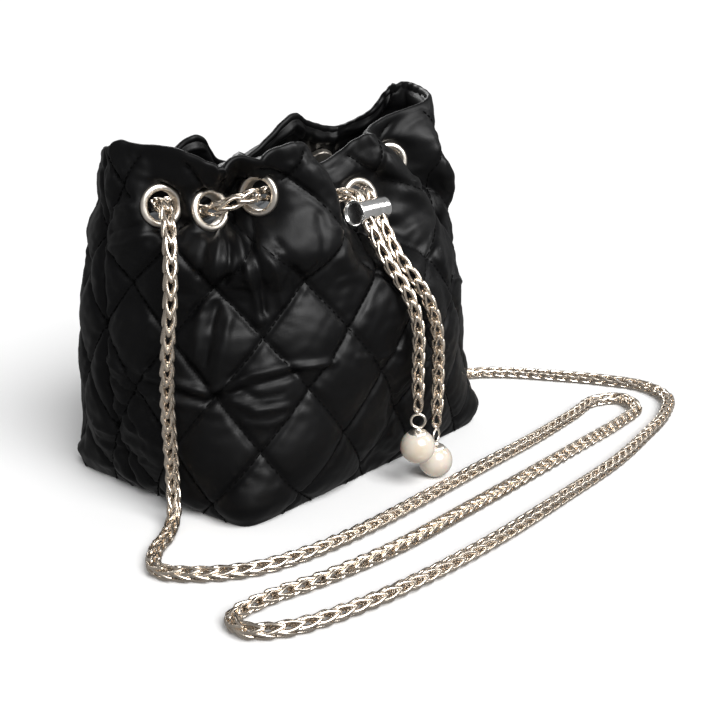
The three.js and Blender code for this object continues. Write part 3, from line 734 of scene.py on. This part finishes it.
# Sharp folds and wrinkles, likewise: fans under the gathered eyelets and buckles lower down.
WRINKLES = [
    (1.9, 1.9, 63, 143, 64, 130, 67, 112, 69, 97),
    (1.4, -1.7, 68, 140, 70, 118, 71, 101),
    (2.3, 1.7, 72, 138, 76, 122, 79, 105),
    (1.6, -1.1, 78, 138, 83, 124, 86, 112),
    (1.5, -1.6, 59, 146, 57, 133, 54, 118),
    (2.2, 1.3, 55, 148, 51, 134, 49, 118),
    (1.5, -1.1, 49, 146, 45, 134, 43, 122),
    (2.6, 1.6, 47, 109, 43, 97, 42, 80),
    (1.5, -1.4, 51, 106, 48, 92, 46, 78),
    (2.6, 1.4, 56, 99, 53, 84, 50, 72),
    (1.7, 1.0, 34, 150, 33, 138, 31, 126),
    (1.8, -1.0, 97, 148, 95, 136, 92, 124),
    (2.0, 1.5, 22, 157, 14, 158, 2, 156),
    (1.4, -1.2, 21, 151, 13, 148, 0, 143),
    (2.2, 1.2, 18, 143, 9, 137, -4, 133),
    (1.8, 2.2, 16, 71, 32, 69, 45, 65, 53, 67, 65, 73, 79, 75, 100, 74),
    (1.4, -1.8, 17, 65, 32, 64, 46, 60, 54, 63, 66, 68, 84, 71),
    (1.6, 1.0, 24, 60, 38, 58, 50, 55),
    (1.4, 1.3, 57, 61, 67, 56, 80, 57),
    (1.1, -1.0, 60, 66, 68, 62, 78, 63),
    (1.3, 0.8, 62, 51, 72, 49, 82, 52),
    (1.5, 0.9, 112, 74, 128, 70, 140, 72),
    (1.6, 1.5, 142, 48, 151, 60, 165, 64, 180, 63),
    (1.3, -1.1, 146, 46, 156, 56, 170, 58),
    (1.7, 1.5, -9, 73, 5, 68, 17, 61),
    (1.2, -1.2, -10, 67, 2, 61, 14, 55),
    (1.6, -1.4, -10, 58, -1, 50, 10, 41),
    (1.5, 1.0, -8, 49, 2, 43, 14, 40),
    (1.5, -1.2, -28, 29, -10, 25, 11, 27),
    (1.8, 1.2, -26, 36, -8, 33, 12, 34),
    (1.8, 1.3, 186, 152, 200, 136, 206, 118),
    (1.6, -1.2, 208, 150, 214, 132, 214, 116),
    (1.7, 1.1, 196, 96, 210, 90, 226, 92),
    (1.9, 1.6, 245, 70, 262, 64, 284, 66),
    (1.4, -1.2, 250, 63, 266, 58, 282, 60),
    (1.9, 1.8, 330, 78, 352, 72, 376, 76, 398, 71),
    (1.4, -1.3, 334, 71, 354, 66, 376, 70),
    (1.9, 1.8, 446, 70, 470, 76, 500, 70, 522, 74),
    (1.4, -1.3, 450, 64, 472, 70, 500, 64),
    (1.6, -1.4, 366, 150, 368, 132, 372, 114),
    (1.6, -1.4, 420, 150, 424, 130, 424, 112),
    (1.7, 1.4, 446, 150, 449, 130, 448, 112),
    (1.6, -1.3, 500, 150, 496, 130, 500, 110),
    (1.7, 1.3, 540, 150, 538, 128, 544, 110),
]


def distance_to(line, x, y):
    """How far a point of the leather is from a line on it, round the bag either way."""
    best = np.full(np.broadcast(x, y).shape, 1e9)
    for (x0, y0), (x1, y1) in zip(line[:-1], line[1:]):
        for wrap in (-GIRTH, 0, GIRTH):
            dx, dy = x1 - x0, y1 - y0
            u = np.clip(((x - x0 - wrap) * dx + (y - y0) * dy) / (dx * dx + dy * dy), 0, 1)
            best = np.minimum(best, np.hypot(x - x0 - wrap - u * dx, y - y0 - u * dy))
    return best


def ripple(x, y, wavelength, seed, count=7):
    """A smooth random field, periodic round the bag, between about -1 and 1."""
    rng = np.random.default_rng(seed)
    total = np.zeros(np.broadcast(x, y).shape)
    for _ in range(count):
        turn = rng.uniform(0, 2 * math.pi)
        kx = round(GIRTH / wavelength * math.cos(turn)) * 2 * math.pi / GIRTH
        ky = 2 * math.pi / wavelength * math.sin(turn)
        total += np.sin(kx * x + ky * y + rng.uniform(0, 2 * math.pi))
    return total / math.sqrt(count)


COLUMN, ROW = np.meshgrid(np.arange(COLUMNS), np.arange(ROWS))
LEATHER_X = COLUMN * DX
LEATHER_Y = ROW * DY


def grid_normals(points):
    """Outward normals of a grid that closes round the bag."""
    ds = np.roll(points, -1, 1) - np.roll(points, 1, 1)
    dt = np.gradient(points, axis=0)
    return unit(np.cross(ds, dt))


def ridges(lines, x, y, waver=1.0):
    """The height of ridges along lines; waver widens and narrows them from place to place."""
    height = np.zeros(np.broadcast(x, y).shape)
    for width, tall, *line in lines:
        away = distance_to(np.reshape(line, (-1, 2)), x, y) * waver
        height = height + tall * np.exp(-((away / width) ** 2))
    return height


def rim_rise(x, y):
    """How far the leather near the rim stands above or below the wall's own edge."""
    rise = np.zeros(np.broadcast(x, y).shape)
    for place, width, height in RIM_SHIFTS:
        away = (x - place + HALF_GIRTH) % GIRTH - HALF_GIRTH
        rise = rise + height * np.exp(-((away / width) ** 2))
    return rise * smooth(y, 152, 184)


def from_seam(seam):
    """How far each point of the grid is from a side seam."""
    return np.abs((COLUMN - seam + COLUMNS // 2) % COLUMNS - COLUMNS // 2) * DX


def folded_wall():
    """The wall with its large folds, its seams and the flat leather round the eyelets."""
    s = LEATHER_X / HALF_GIRTH
    t = ROW / (ROWS - 1)
    loose, flat = held(s, t - 0.012 * smooth(ROW, ROWS - 9, ROWS - 1))
    normal = grid_normals(loose)
    height = 0.5 * ripple(LEATHER_X, LEATHER_Y, 46, 3) * smooth(LEATHER_Y, 6, 40)
    height = height + ridges(FOLDS, LEATHER_X, LEATHER_Y)
    for seam in (LEFT_SEAM, RIGHT_SEAM):
        away = from_seam(seam)
        height = height - 1.8 * np.exp(-((away / 2.2) ** 2))
        height = height + 0.3 * ripple(LEATHER_X, LEATHER_Y, 11, 11) * np.exp(-((away / 9) ** 2))
    pucker = np.sin(LEATHER_X * 2 * math.pi / 8.57 + 1.7 * ripple(LEATHER_X, 0 * LEATHER_Y, 60, 71))
    gathered = np.exp(-(((LEATHER_X - 65) / 30) ** 2))
    height = height + (0.15 + 0.5 * gathered) * pucker * smooth(LEATHER_Y, 160, 184)
    height = height * (1 - flat) * smooth(LEATHER_Y, -2, 10)
    folded = loose + normal * height[..., None]
    folded[..., 2] += rim_rise(LEATHER_X, LEATHER_Y) * (1 - flat)
    return folded, flat


def on_stitch_line():
    i = COLUMN - CROSSING[0]
    j = ROW - CROSSING[1]
    return ((i + j) % DIAMOND == 0) | ((i - j) % DIAMOND == 0)


def puffed(points, fixed, growth):
    """The leather swollen between its stitch lines: a cloth with pressure behind it."""
    mesh_faces = grid_faces(ROWS, COLUMNS, close=True)
    cloth = new_mesh("quilting_cloth", points.reshape(-1, 3), mesh_faces)
    pins = cloth.vertex_groups.new(name="pins")
    pins.add(np.flatnonzero(fixed.ravel()).tolist(), 1.0, "REPLACE")
    grow = cloth.vertex_groups.new(name="grow")
    share = 1 - (growth - GROW_LEAST) / (GROW_MOST - GROW_LEAST)
    for index, value in enumerate(share.ravel()):
        grow.add([index], float(value), "REPLACE")
    modifier = cloth.modifiers.new("cloth", "CLOTH")
    settings = modifier.settings
    facts = {
        "quality": 6, "mass": 0.12, "tension_stiffness": 12, "compression_stiffness": 12,
        "shear_stiffness": 4, "bending_stiffness": 0.3, "tension_damping": 8, "compression_damping": 8,
        "air_damping": 3, "vertex_group_mass": "pins", "vertex_group_shrink": "grow",
        "shrink_min": -GROW_MOST, "shrink_max": -GROW_LEAST, "use_pressure": True,
        "uniform_pressure_force": PRESSURE,
    }
    for key, value in facts.items():
        setattr(settings, key, value)
    settings.effector_weights.gravity = 0
    modifier.collision_settings.use_collision = False
    modifier.collision_settings.use_self_collision = False
    modifier.point_cache.frame_start = 1
    modifier.point_cache.frame_end = CLOTH_STEPS
    for step in range(1, CLOTH_STEPS + 1):
        scene.frame_set(step)
    depsgraph = bpy.context.evaluated_depsgraph_get()
    moved = read(cloth.evaluated_get(depsgraph).data.vertices, "co", 3)
    moved = moved.reshape(points.shape).astype(float) * 1000
    scene.frame_set(1)
    bpy.data.objects.remove(cloth)
    shift = moved - points
    far = np.linalg.norm(shift, axis=-1, keepdims=True)
    return points + shift * np.minimum(1, MOST_SWELL / np.maximum(far, 1e-9))


def pillowed(points, flat, height):
    """The padding's own shape: a pillow in each diamond, flat at the eyelets, the rim and the foot."""
    i = (COLUMN - CROSSING[0] + ROW - CROSSING[1]) / DIAMOND
    j = (COLUMN - CROSSING[0] - ROW + CROSSING[1]) / DIAMOND
    pillow = np.abs(np.sin(math.pi * i) * np.sin(math.pi * j)) ** 0.42
    for seam in (LEFT_SEAM, RIGHT_SEAM):
        away = from_seam(seam)
        pillow = pillow * smooth(away, -4, 8)
    pillow = pillow * (1 - flat) * smooth(ROW, 0, 5) * smooth(ROWS - 1 - ROW, 1, 6)
    return points + grid_normals(points) * (height * pillow)[..., None]


def quilted_wall():
    """The wall without its padding, and with it."""
    points, flat = folded_wall()
    fixed = on_stitch_line() | (flat > 0.6) | (ROW == 0) | (ROW >= ROWS - 2)
    fixed |= (COLUMN == LEFT_SEAM) | (COLUMN == RIGHT_SEAM)
    across = np.linalg.norm(np.roll(points, -1, 1) - points, axis=-1) / DX
    growth = np.clip(1 / np.maximum(across, 0.5) - 1, GROW_LEAST, GROW_MOST)
    padded = pillowed(points, flat, PADDING)
    return points, puffed(padded, fixed, growth)


MACRO, QUILTED = quilted_wall()


def rim_rows(points):
    """The leather rolled over the rim: rows from the outer face over the edge to the inner face."""
    normal = grid_normals(MACRO)[-1]
    upward = unit(MACRO[-1] - MACRO[-4])
    normal = unit(normal - upward * (normal * upward).sum(-1, keepdims=True))
    half = (SKIN + GAP + FACING) / 2
    centre = points[-1] - normal * half
    rows = [centre + normal * half * math.cos(a) + upward * 1.25 * half * math.sin(a)
            for a in np.linspace(0.25 * math.pi, math.pi, 5)]
    return rows + [rows[-1] - upward * 3]


def foot_rows(points):
    """The lower edge turned under the bag."""
    normal = grid_normals(MACRO)[0] * np.array([1, 1, 0])
    return [points[0] - unit(normal) * d + np.array([0, 0, h]) for d, h in ((3.2, 0.35), (1.1, 0.15))]


def wrinkled(x, y):
    """The height of the sharp folds."""
    return ridges(WRINKLES, x, y, 1 + 0.25 * ripple(x, y, 17, 61))


def to_stitch_lines(x, y):
    """For both families of stitch lines: how far the nearest one is, and the place along it."""
    wide, tall = DIAMOND_WIDE, DIAMOND_TALL
    steep = math.hypot(1 / wide, 1 / tall)
    found = []
    for lean in (1, -1):
        number = (x - CROSSING[0] * DX) / wide + lean * (y - CROSSING[1] * DY) / tall
        along = (x * lean * wide / tall - y) * STITCH_CLIMB
        found.append((np.abs(number - np.round(number)) / steep, along))
    return found


def crease(x, y):
    """How far the leather sinks at the stitches, and puckers beside them."""
    depth = np.zeros(np.broadcast(x, y).shape)
    for number, (away, along) in enumerate(to_stitch_lines(x, y)):
        sink = np.exp(-((away / 1.25) ** 2))
        pucker = np.sin(along * 2 * math.pi / 5.6 + 2.2 * ripple(x, y, 30, 31 + number))
        strength = 0.5 + 0.5 * ripple(x, y, 38, 41 + number)
        depth = depth + 1.15 * sink - 0.26 * strength * pucker * np.exp(-away / 4.5) * (1 - sink)
    return depth


def stitched_share(x, y):
    """1 on the leather, falling to 0 at its rim, its foot and round the eyelets."""
    rim = (ROWS - 1) * DY
    flat = held(np.mod(x / HALF_GIRTH, 2.0), np.clip(y / rim, 0, 1))[1]
    return (1 - flat) * smooth(y, 0, 4) * smooth(rim - y, 0.5, 4)


def add_creases(obj):
    """Sinks the stitch lines and raises the wrinkles, by each point's leather coordinates."""
    mesh = obj.data
    points = read(mesh.vertices, "co", 3)
    normals = read(mesh.vertices, "normal", 3)
    corner = read(mesh.loops, "vertex_index", 1, np.int32)[:, 0]
    place = np.zeros((len(points), 2))
    place[corner] = read(mesh.uv_layers[0].data, "uv", 2) * 1000
    x, y = place[:, 0], place[:, 1]
    share = stitched_share(x, y)
    depth = crease(x, y) * share
    fine = 0.10 * ripple(x, y, 7, 51, 12) * smooth(y, 0, 6)
    fine -= wrinkled(x, y) * share
    points = points - normals * ((depth + fine) / 1000)[:, None]
    mesh.vertices.foreach_set("co", points.astype(np.float32).ravel())
    mesh.update()


def leather_panel(name, first, last, node):
    """One of the two panels: the columns from one seam to the other."""
    body = np.concatenate([np.array(foot_rows(QUILTED)), QUILTED, np.array(rim_rows(QUILTED))])
    columns = np.arange(first, last + 1) % COLUMNS
    part = body[:, columns].copy()
    inward = grid_normals(MACRO)[:, columns]
    tucked = np.concatenate([inward[:1]] * 2 + [inward] + [inward[-1:]] * 6)
    for side in (0, -1):
        part[:, side] -= tucked[:, side] * 1.2
    xs = first * DX + np.arange(len(columns)) * DX
    ys = np.concatenate([[-3, -1], LEATHER_Y[:, 0], LEATHER_Y[-1, 0] + np.arange(1, 7)])
    uv = np.stack(np.meshgrid(xs / 1000, ys / 1000), -1).reshape(-1, 2)
    obj = new_mesh(name, part.reshape(-1, 3), grid_faces(len(body), len(columns)), uv)
    smoothing = obj.modifiers.new("smooth", "SUBSURF")
    smoothing.levels = 1
    smoothing.render_levels = 1
    apply_modifiers(obj)
    add_creases(obj)
    punch(obj, LEATHER_HOLE)
    put(obj, "bag", "leather", LEATHER, node)


def punch(obj, radius):
    """Opens the sheet round each eyelet's barrel."""
    mesh = bmesh.new()
    mesh.from_mesh(obj.data)
    co = np.array([v.co for v in mesh.verts]) * 1000
    inside = np.zeros(len(co), bool)
    for _, centre, normal, _, _ in FRAMES:
        away = co - centre
        height = away @ normal
        inside |= (np.linalg.norm(away - height[:, None] * normal, axis=1) < radius) & (np.abs(height) < 9)
    mesh.verts.ensure_lookup_table()
    bmesh.ops.delete(mesh, geom=[mesh.verts[i] for i in np.flatnonzero(inside)], context="VERTS")
    mesh.to_mesh(obj.data)
    mesh.free()


leather_panel("front_leather", LEFT_SEAM, RIGHT_SEAM + COLUMNS, "front_panel")
leather_panel("back_leather", RIGHT_SEAM, LEFT_SEAM, "back_panel")

# ---- Facing and lining ----

HEM_LINE = 0.935
INNER_ROWS = 60
FRONT_COLUMNS, BACK_COLUMNS = (-5, 150), (150, 295)


def inner_sheet(name, heights, depth, thick, ends, wrinkle, slot, finish, node):
    """A sheet inside the wall: its inner face, and its edges turned back to its outer face."""
    rows = INNER_ROWS
    low, high = heights
    first, last = ends
    columns = np.arange(first, last + 1)
    s = columns * DX / HALF_GIRTH
    s_grid, t_grid = np.meshgrid(s, np.linspace(low, high, rows))
    x, y = s_grid * HALF_GIRTH, t_grid * WALL
    surface, flat = held(s_grid, t_grid)
    side, _ = held(s_grid + 0.004, t_grid)
    back_side, _ = held(s_grid - 0.004, t_grid)
    above, _ = held(s_grid, t_grid + 0.01)
    below, _ = held(s_grid, t_grid - 0.01)
    normal = unit(np.cross(side - back_side, above - below))
    rough = np.abs(wrinkle * ripple(x, y, 23, 21))
    hem = 2.0 * np.abs(np.sin(math.pi * (t_grid - HEM_LINE) / (FACING_TOP - HEM_LINE))) ** 0.6
    rough = (rough + hem * (t_grid > HEM_LINE)) * (1 - flat)
    fade = smooth(np.arange(rows), 0, 3) * smooth(rows - 1 - np.arange(rows), 0, 3)
    sunk = 1.1 * np.minimum(ridges(FOLDS, x, y), 0) * smooth(y, -2, 10)
    surface = surface + normal * (sunk * (1 - flat))[..., None]
    surface[..., 2] += rim_rise(x, y) * (1 - flat)
    inner = surface - normal * (depth + thick + rough * fade[:, None])[..., None]
    outer = surface - normal * depth
    ring = np.concatenate([outer[:1], inner, outer[-1:]])
    uv = np.stack([s_grid * 0.3, t_grid * 0.185], -1)
    uv = np.concatenate([uv[:1], uv, uv[-1:]]).reshape(-1, 2)
    obj = new_mesh(name, ring.reshape(-1, 3), grid_faces(len(ring), len(columns))[:, ::-1], uv)
    punch(obj, INNER_HOLE)
    return put(obj, "bag", slot, finish, node)


def facing_band(name, ends, node):
    return inner_sheet(name, (FACING_FOOT, FACING_TOP), SKIN + GAP, FACING, ends, 1.1,
                       "leather", LEATHER, node)


def lining_cloth(name, ends, node):
    return inner_sheet(name, (0.035, FACING_FOOT + 0.015), SKIN + 1.6, 0.8, ends, 1.6,
                       "lining", LINING, node)


band_front = facing_band("facing_band_front", FRONT_COLUMNS, "facing_front")
band_back = facing_band("facing_band_back", BACK_COLUMNS, "facing_back")
cloth_front = lining_cloth("lining_cloth_front", FRONT_COLUMNS, "lining_front")
cloth_back = lining_cloth("lining_cloth_back", BACK_COLUMNS, "lining_back")

# ---- Stitching ----


THREAD_RADIUS, THREAD_SIDES = 0.3, 5


def stitches(name, starts, ends, normals):
    """Short threads over the leather from one needle hole to the next."""
    sides = THREAD_SIDES
    places = np.array([0.0, 0.18, 0.5, 0.82, 1.0])
    lift = np.array([-0.3, 0.2, 0.35, 0.2, -0.3])
    tangent = unit(ends - starts)
    across = unit(np.cross(normals, tangent))
    out = np.cross(tangent, across)
    turn = np.arange(sides) / sides * 2 * math.pi
    centre = starts[:, None] + (ends - starts)[:, None] * (0.1 + 0.8 * places)[None, :, None]
    centre = centre + out[:, None] * lift[None, :, None]
    ring = THREAD_RADIUS * (np.cos(turn)[:, None] * across[:, None, None]
                            + np.sin(turn)[:, None] * out[:, None, None])
    points = (centre[:, :, None] + ring).reshape(-1, 3)
    per = len(places) * sides
    one = grid_faces(len(places), sides, close=True)
    faces = (one[None] + per * np.arange(len(starts))[:, None, None]).reshape(-1, 4)
    put(new_mesh(name, points, faces), "bag", "leather", THREAD)


def subdivided(points):
    """Where one Catmull-Clark subdivision moves the grid's own points."""
    east, west = np.roll(points, -1, 1), np.roll(points, 1, 1)

    def above(p):
        return np.concatenate([p[1:], p[-1:]])

    def below(p):
        return np.concatenate([p[:1], p[:-1]])

    sides = east + west + above(points) + below(points)
    corners = above(east) + above(west) + below(east) + below(west)
    return (36 * points + 6 * sides + corners) / 64


def quilting_stitches():
    normal = grid_normals(MACRO)
    sunk = crease(LEATHER_X, LEATHER_Y) - wrinkled(LEATHER_X, LEATHER_Y)
    sunk = sunk * stitched_share(LEATHER_X, LEATHER_Y)
    smoothed = subdivided(QUILTED) - normal * (sunk - 0.25)[..., None]
    starts, ends, normals = [], [], []
    clear = held(LEATHER_X / HALF_GIRTH, ROW / (ROWS - 1))[1] < 0.5
    for lean in (1, -1):
        line = ((COLUMN - CROSSING[0]) - lean * (ROW - CROSSING[1])) % DIAMOND == 0
        for j, i in np.argwhere(line[: ROWS - 2]):
            k = (i + lean) % COLUMNS
            if clear[j, i] and clear[j + 1, k]:
                starts.append(smoothed[j, i])
                ends.append(smoothed[j + 1, k])
                normals.append(normal[j, i])
    stitches("quilting_thread", np.array(starts), np.array(ends), np.array(normals))


quilting_stitches()

# ---- CAD pieces that keep their shape ----


def make_board():
    mat, tree, shader = material("board_grey", (0.42, 0.38, 0.31), 0.9)
    tint = ramp(tree, noise(tree, 120, 4), [(0.3, (0.36, 0.32, 0.26)), (0.7, (0.46, 0.42, 0.35))])
    feed(shader, Normal=bump(tree, noise(tree, 800, 3), 0.4, 0.0003), Base_Color=tint)
    return mat


for node, finish in (("base_panel", LEATHER), ("lining_floor", LINING), ("snap_stud", SILVER),
                     ("snap_socket", SILVER), ("base_board", make_board())):
    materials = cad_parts[node].data.materials
    materials.clear()
    materials.append(finish)

# ---- Studio ----

FLOOR_REACH = 60000
SHADOW_LIGHT, BACKDROP = 0.30, 1.0


def make_floor():
    """A pale floor that isn't seen in reflections."""
    mat, tree, shader = material("floor_white", (0.9, 0.9, 0.9), 0.9, Specular_IOR_Level=0.1)
    feed(shader, Base_Color=ramp(tree, noise(tree, 3, 2), [(0.2, 0.89), (0.8, 0.91)]))
    corners = [(x * FLOOR_REACH, y * FLOOR_REACH, 0) for x, y in ((-1, -1), (1, -1), (1, 1), (-1, 1))]
    floor = new_mesh("floor", corners, [(0, 1, 2, 3)], shade_smooth=False)
    floor.data.materials.append(mat)
    floor.visible_glossy = False


def make_world():
    """A white surround, brighter to the camera than to the bag."""
    world = bpy.data.worlds.new("studio")
    scene.world = world
    world.use_nodes = True
    nodes, links = world.node_tree.nodes, world.node_tree.links
    background = nodes["Background"]
    background.inputs["Color"].default_value = (1, 1, 1, 1)
    path = nodes.new("ShaderNodeLightPath")
    strength = nodes.new("ShaderNodeMapRange")
    strength.inputs["To Min"].default_value = SHADOW_LIGHT
    strength.inputs["To Max"].default_value = BACKDROP
    links.new(path.outputs["Is Camera Ray"], strength.inputs["Value"])
    links.new(strength.outputs["Result"], background.inputs["Strength"])
    scene.view_settings.view_transform = "Standard"


make_floor()
make_world()


def add_light(name, kind, place, target, energy, **facts):
    data = bpy.data.lights.new(name, kind)
    data.energy = energy
    for key, value in facts.items():
        setattr(data, key, value)
    obj = bpy.data.objects.new(name, data)
    scene.collection.objects.link(obj)
    obj.location = Vector(place)
    obj.rotation_euler = (Vector(target) - Vector(place)).to_track_quat("-Z", "Y").to_euler()
    return obj


add_light("key", "SUN", (-0.6, -1.6, 1.7), (0, 0, 0.1), 4.1, angle=math.radians(40))
# Lights for the highlights: name, place, height of the target, watts, width and height.
SHEENS = [
    ("softbox", (-0.15, -1.0, 0.75), 0.12, 18.0, 0.6, 0.5),
    ("edge", (0.5, 0.9, 0.8), 0.1, 10.0, 0.6, 0.3),
    ("side", (0.9, -0.7, 0.75), 0.12, 4.0, 0.25, 0.5),
]
for name, place, target, energy, width, height in SHEENS:
    sheen = add_light(name, "AREA", place, (0, 0, target), energy, shape="RECTANGLE",
                      size=width, size_y=height)
    sheen.visible_diffuse = False
